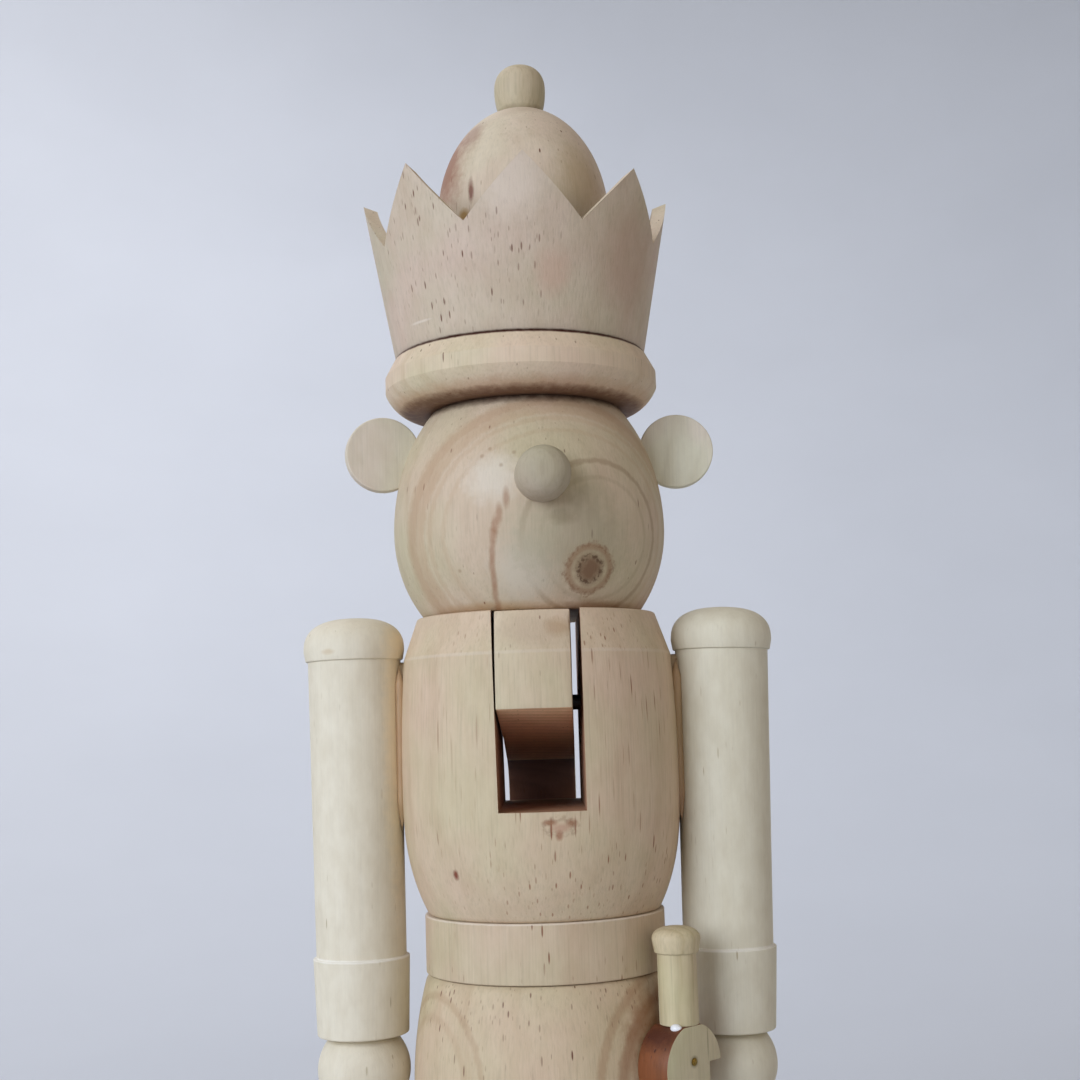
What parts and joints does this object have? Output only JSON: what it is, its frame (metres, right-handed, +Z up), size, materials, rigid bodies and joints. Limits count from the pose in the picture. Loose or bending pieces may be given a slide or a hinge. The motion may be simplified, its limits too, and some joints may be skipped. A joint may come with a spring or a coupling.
{
  "type": "nutcracker figure",
  "caption": "Bare turned-wood nutcracker figure with a pointed crown, ball head, hanging arms, a sword at its side and a jaw lever that works from behind.",
  "frame": {"origin": "centre of the base's underside, on the figure's axis", "axes": "+Z up along the figure's axis, -Y the way the figure faces, +X to the figure's own left"},
  "size_m": [0.108, 0.09, 0.3798],
  "materials": {
    "turned_wood": "sanded bare rubberwood with short dark pores",
    "pale_wood": "sanded bare limewood, pale and fine-grained",
    "scorched_wood": "saw-cut limewood with a scorched rim",
    "dowel_wood": "plain beech dowel, glued",
    "brass": "plain brass pin",
    "steel_wire": "dull drawn wire"
  },
  "bodies": {
    "figure": {"base": "turned_wood", "left_foot": "turned_wood", "right_foot": "turned_wood", "left_leg": "turned_wood", "right_leg": "turned_wood", "hips": "turned_wood", "belt": "turned_wood", "torso": "turned_wood", "jaw_pin": "steel_wire", "head": "turned_wood", "nose": "pale_wood", "left_ear": "pale_wood", "right_ear": "pale_wood", "crown_ring": "turned_wood", "crown": "turned_wood", "crown_dome": "turned_wood", "finial": "pale_wood", "left_arm": "pale_wood", "right_arm": "pale_wood", "sword_guard": "scorched_wood", "sword_grip": "pale_wood", "sword_blade": "pale_wood", "guard_nail": "brass", "head_dowels": "dowel_wood", "arm_dowels": "dowel_wood", "waist_dowel": "dowel_wood", "leg_dowels": "dowel_wood", "base_dowels": "dowel_wood", "crown_dowel": "dowel_wood"},
    "jaw": {"jaw_lever": "turned_wood"}
  },
  "joints": [
    {"name": "jaw_hinge", "type": "hinge", "parent": "figure", "child": "jaw", "pos_m": [0, 0, 0.23], "axis": [1, 0, 0], "range_deg": [0, 28]}
  ]
}
